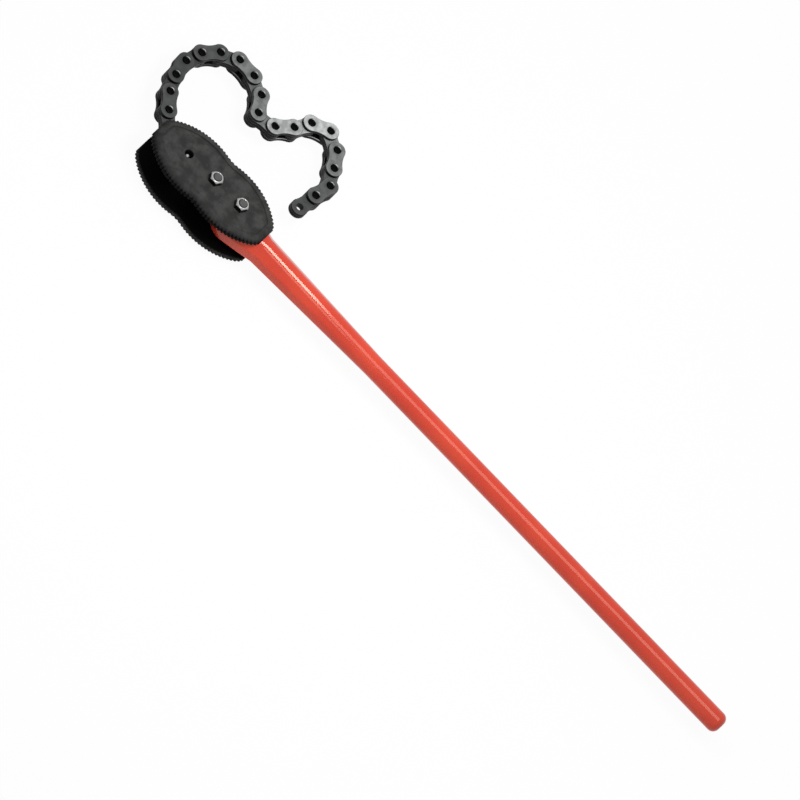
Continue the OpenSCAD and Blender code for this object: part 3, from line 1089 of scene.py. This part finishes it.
def plate_mesh(sizes, pitch, low, holes):
    """Mesh of a stamped plate with rounded edges and two holes (place, radius), with painted shade on its inner
    face and on its sides.
    """
    high = low + sizes.plate_t
    middle = (low + high) / 2
    rounding = sizes.edge_round
    # Painted shade on the face turned towards the middle of the link
    top_shade = 0.0 if middle > 0 else 1.0
    bottom_shade = 1.0 - top_shade
    upper = []
    for degrees in (0, 30, 60, 90):
        a = math.radians(degrees)
        drop = rounding * (1 - math.cos(a))
        upper.append((rounding * (1 - math.sin(a)), high - drop, min(1.0, degrees / SHADE_TURN)))
    lower = [(inset, 2 * middle - z, dark) for inset, z, dark in reversed(upper)]
    bm = bmesh.new()
    rim = []
    for inset, z, dark in upper + lower:
        rim.append(add_ring(bm, plate_ring(sizes, pitch, inset, z), RIM_WEAR, dark))
    face = rounding + PLATE_MARGIN
    rim.insert(0, add_ring(bm, plate_ring(sizes, pitch, face, high), 0.0, top_shade))
    rim.append(add_ring(bm, plate_ring(sizes, pitch, face, low), 0.0, bottom_shade))
    edges = [max(HOLE_EDGE_SHADE, shading) for shading in (top_shade, bottom_shade)]
    grime = (edges[0], PLATE_HOLE_SHADE, PLATE_HOLE_SHADE, edges[1])
    hole = (PLATE_HOLE_EDGE, PLATE_HOLE_SIDES, (low, high), PLATE_HOLE_WEAR, grime)
    bores = [bore(bm, x, radius, *hole) for x, radius in holes]
    close_plate(bm, rim, bores)
    return bm


def lit_side(at):
    """Direction across the handle, as seen from a link placed by a matrix."""
    return (at.to_3x3().inverted() @ Vector((0.0, 1.0, 0.0))).xy


def pin_mesh(sizes, places, lit):
    """Mesh of riveted pins with a dish in each end, with a painted glint on the rim towards the lit direction and
    painted shade elsewhere.
    """
    shoulder = PIN_HALF - sizes.rivet_h
    rivet_r = RIVET_D / 2
    chamfer = RIVET_CHAMFER
    broken = CHAMFER_BREAK * chamfer
    dish_r = sizes.dish_d / 2
    # Radius, height, edge mark and least painted shade of each ring, from the shank to the floor of the dish
    outer = [
        (sizes.pin_d / 2, shoulder, 0.0, 1.0),
        (rivet_r, shoulder, 0.0, 1.0),
        (rivet_r, PIN_HALF - chamfer, 0.3, 0.7),
        (rivet_r - broken, PIN_HALF - broken, 0.8, 0.0),
        (rivet_r - chamfer, PIN_HALF, 0.8, 0.0),
        (dish_r, PIN_HALF, 0.8, 0.0),
        (dish_r * DISH_WALL, PIN_HALF - sizes.dish_h / 2, 0.2, 0.95),
        (dish_r * DISH_FLOOR, PIN_HALF - sizes.dish_h, 0.0, 1.0),
    ]
    profile = [(r, -z, edge, dark) for r, z, edge, dark in reversed(outer)] + outer
    bm = bmesh.new()

    def facing(side):
        """How far a direction points to the lit side."""
        return max(0.0, side.normalized().dot(lit))

    for place in (Vector((x, 0.0)) for x in places):

        def shadow(dark):
            """Painted shade that is full on the side away from the lit direction."""
            return lambda p: 1.0 - (1.0 - dark) * facing(p.xy - place) ** GLINT_POWER

        rings = [(circle(r, z, PIN_SIDES, place), edge, shadow(dark)) for r, z, edge, dark in profile]
        close(bm, [add_ring(bm, *ring) for ring in rings])
    return bm


def add_shackle(sizes, reach, at):
    """Finishes the forged shackle and makes the pin in its fork."""
    node = frame["nodes"]["shackle"]
    node.data.materials.clear()
    node.data.materials.append(bpy.data.materials["blackened_jaw_steel"])
    weld = node.modifiers.new("Joined faces", "WELD")
    weld.merge_threshold = SHACKLE_WELD
    soften(node, SHACKLE_ROUND)
    pins = pin_mesh(sizes, (reach,), lit_side(at))
    piece("riveted_shackle_pin", pins, "shackle", PIN_STEEL, "shackle_pin", at)


def add_link(sizes, body, i, pitch, at, last):
    """Makes the plates of one link, and the pins if it is an outer link."""
    outer = body.startswith("outer")
    # Painted sheen: single links are made lighter after their place along the chain
    wear_and_sheen = sum(amount / (1 + ((i - place) / spread) ** 2) for place, spread, amount in SHEEN_LINKS)
    wear_and_sheen *= 1.0 if outer else INNER_SHEEN
    play = PRESS_PLAY if outer else RUN_PLAY
    near = (sizes.pin_d + play) / 2
    far = sizes.eye_d / 2 if last else near
    inner_low = sizes.plate_t + SIDE_PLAY if outer else 0.0
    for side, low in (("front", inner_low), ("rear", -inner_low - sizes.plate_t)):
        bm = plate_mesh(sizes, pitch, low, ((0.0, near), (pitch, far)))
        node = body + "_" + side + "_plate"
        made = piece("stamped_" + node, bm, body, LINK_STEEL, node, at)
        mark_points(made, SHEEN_MARK, [wear_and_sheen] * len(made.data.vertices))
    if outer:
        pins = pin_mesh(sizes, (0.0, pitch), lit_side(at))
        piece("riveted_" + body + "_pins", pins, body, PIN_STEEL, body + "_pins", at)


class WRENCH_OT_chain(bpy.types.Operator):
    """Builds every link plate and riveted pin of the chain, and finishes the shackle"""

    bl_idname = "wrench.chain"
    bl_label = "Chain"

    def execute(self, context):
        sizes = context.scene.wrench_chain
        places = chain_places()
        for i, joint in enumerate(frame["joints"]):
            body = joint["child"]
            along = places[i + 1] - places[i]
            at = Matrix.Translation(places[i]) @ Matrix.Rotation(math.atan2(along.y, along.x), 4, "Z")
            if body == "shackle":
                add_shackle(sizes, along.length, at)
            else:
                last = i == len(frame["joints"]) - 1
                add_link(sizes, body, i, along.length, at, last)
        return {"FINISHED"}


# Stage

ALONG = Vector((1.0, 0.0, 0.0))
# Points of the tool that the lamps face
GRIP_SPOT = Vector((-0.02, 0.0, 0.0))
NECK_SPOT = MIDDLE + Vector((0.12, 0.0, 0.0))
HEAD_SPOT = MIDDLE + Vector((0.0, 0.05, 0.0))
# Lamps: the point each one faces, its place seen from there, and its size along and across the handle
STRIP_LIGHT = {"aim": GRIP_SPOT, "offset": Vector((0.0, -0.15, 1.5)), "size": (1.15, 0.75)}
HEAD_LIGHT = {"aim": NECK_SPOT, "offset": Vector((0.03, -0.07, 0.9)), "size": (0.18, 0.45)}
KEY_LIGHT = {"aim": HEAD_SPOT, "offset": Vector((0.1, 1.3, 0.8)), "size": (1.2, 0.5)}
FILL_LIGHT = {"aim": NECK_SPOT, "size": (0.35, 0.35)}
FILL_DISTANCE = 1.2
FLOOR_HALF = 6.0
FLOOR_GAP = 0.2 * MM
FLOOR_TONE = (0.8, 0.8, 0.8, 1.0)
FLOOR_ROUGHNESS = 0.9
# Share of plain white in the floor as the camera sees it; the rest keeps the shadow
FLOOR_WHITE = 0.95
CLIP_END = 100.0


def seen(tree):
    """Light Path factor: 1 for what the camera, reflections and glass see."""
    path = tree.nodes.new("ShaderNodeLightPath")
    total = maths(tree, "MAXIMUM", path.outputs["Is Camera Ray"], path.outputs["Is Glossy Ray"])
    return maths(tree, "MAXIMUM", total, path.outputs["Is Transmission Ray"])


def turned_to(right, up, back, place):
    """Matrix of an object at a place with its axes along three directions."""
    return Matrix.Translation(place) @ Matrix((right, up, back)).transposed().to_4x4()


def add_floor():
    """Pale floor that shows nearly white and keeps the soft shadow."""
    bm = bmesh.new()
    half = FLOOR_HALF
    corners = ((-half, -half), (half, -half), (half, half), (-half, half))
    bm.faces.new([bm.verts.new((x, y, BOLT_LOW.z - FLOOR_GAP)) for x, y in corners])
    made = placed("floor", solid_mesh("floor", bm))
    surface = bpy.data.materials.new("pale_floor")
    surface.use_nodes = True
    tree = surface.node_tree
    matt = tree.nodes["Principled BSDF"]
    matt.inputs["Base Color"].default_value = FLOOR_TONE
    matt.inputs["Roughness"].default_value = FLOOR_ROUGHNESS
    matt.inputs["Specular IOR Level"].default_value = 0.0
    glow = tree.nodes.new("ShaderNodeEmission")
    glow.inputs["Strength"].default_value = 1.0
    blend = tree.nodes.new("ShaderNodeMixShader")
    tree.links.new(maths(tree, "MULTIPLY", seen(tree), FLOOR_WHITE), blend.inputs["Fac"])
    tree.links.new(matt.outputs["BSDF"], blend.inputs[1])
    tree.links.new(glow.outputs["Emission"], blend.inputs[2])
    tree.links.new(blend.outputs["Shader"], tree.nodes["Material Output"].inputs["Surface"])
    made.data.materials.append(surface)


def add_sky(scene, settings):
    """Even light all round, with white behind the tool."""
    world = bpy.data.worlds.new("studio")
    world.use_nodes = True
    scene.world = world
    tree = world.node_tree
    glow = tree.nodes["Background"]
    glow.inputs["Color"].default_value = (1.0, 1.0, 1.0, 1.0)
    tree.links.new(between(tree, seen(tree), settings.sky, 1.0), glow.inputs["Strength"])


def add_lamp(name, watts, aim, offset, size, mirrored=True):
    """Soft rectangular light that faces the tool; one that isn't mirrored leaves no highlight."""
    data = bpy.data.lights.new(name, "AREA")
    data.shape = "RECTANGLE"
    data.size, data.size_y = size
    data.energy = watts
    made = placed(name, data)
    back = offset.normalized()
    right = (ALONG - back * ALONG.dot(back)).normalized()
    made.matrix_world = turned_to(right, back.cross(right), back, aim + offset)
    made.visible_camera = False
    made.visible_glossy = mirrored


def add_camera(scene, settings, back):
    """Long-lens camera that shows the handle slanting down to the right."""
    data = bpy.data.cameras.new("camera")
    data.lens = settings.lens
    data.clip_end = CLIP_END
    distance = settings.frame_width * settings.lens / data.sensor_width
    across = Vector((0.0, math.cos(settings.tilt), math.sin(settings.tilt)))
    right = ALONG * math.cos(settings.roll) + across * math.sin(settings.roll)
    up = across * math.cos(settings.roll) - ALONG * math.sin(settings.roll)
    made = placed("camera", data)
    made.matrix_world = turned_to(right, up, back, Vector(settings.aim) + back * distance)
    scene.camera = made


class WRENCH_OT_stage(bpy.types.Operator):
    """Sets the pale floor, the soft light and the camera"""

    bl_idname = "wrench.stage"
    bl_label = "Stage"

    def execute(self, context):
        settings = context.scene.wrench_stage
        context.scene.view_settings.view_transform = "Standard"
        back = Vector((0.0, -math.sin(settings.tilt), math.cos(settings.tilt)))
        add_floor()
        add_sky(context.scene, settings)
        add_lamp("strip_light", settings.strip_power, **STRIP_LIGHT)
        add_lamp("head_light", settings.head_power, **HEAD_LIGHT)
        add_lamp("key_light", settings.key_power, **KEY_LIGHT, mirrored=False)
        add_lamp("fill_light", settings.fill_power, **FILL_LIGHT, offset=back * FILL_DISTANCE)
        add_camera(context.scene, settings, back)
        return {"FINISHED"}


class WRENCH_PT_panel(bpy.types.Panel):
    """Lists the steps that build the tool"""

    bl_idname = "WRENCH_PT_panel"
    bl_label = "Chain pipe wrench"
    bl_space_type = "VIEW_3D"
    bl_region_type = "UI"
    bl_category = "Wrench"

    def draw(self, context):
        for step in STEPS:
            self.layout.operator(step.bl_idname)


GROUPS = (
    ("wrench_handle", HandleSizes),
    ("wrench_jaws", JawSizes),
    ("wrench_fasteners", FastenerSizes),
    ("wrench_chain", ChainSizes),
    ("wrench_finishes", Finishes),
    ("wrench_stage", StageSettings),
)
STEPS = (
    WRENCH_OT_finishes,
    WRENCH_OT_handle,
    WRENCH_OT_jaws,
    WRENCH_OT_fasteners,
    WRENCH_OT_chain,
    WRENCH_OT_stage,
)


def register():
    """Registers the sizes, the steps and the panel."""
    for name, kind in GROUPS:
        bpy.utils.register_class(kind)
        setattr(bpy.types.Scene, name, PointerProperty(type=kind))
    for kind in STEPS + (WRENCH_PT_panel,):
        bpy.utils.register_class(kind)


def unregister():
    """Takes everything out again."""
    for kind in reversed(STEPS + (WRENCH_PT_panel,)):
        bpy.utils.unregister_class(kind)
    for name, kind in reversed(GROUPS):
        delattr(bpy.types.Scene, name)
        bpy.utils.unregister_class(kind)


def main():
    """Builds the tool step by step."""
    register()
    bpy.ops.wrench.finishes()
    bpy.ops.wrench.handle()
    bpy.ops.wrench.jaws()
    bpy.ops.wrench.fasteners()
    bpy.ops.wrench.chain()
    bpy.ops.wrench.stage()


if __name__ == "__main__":
    main()
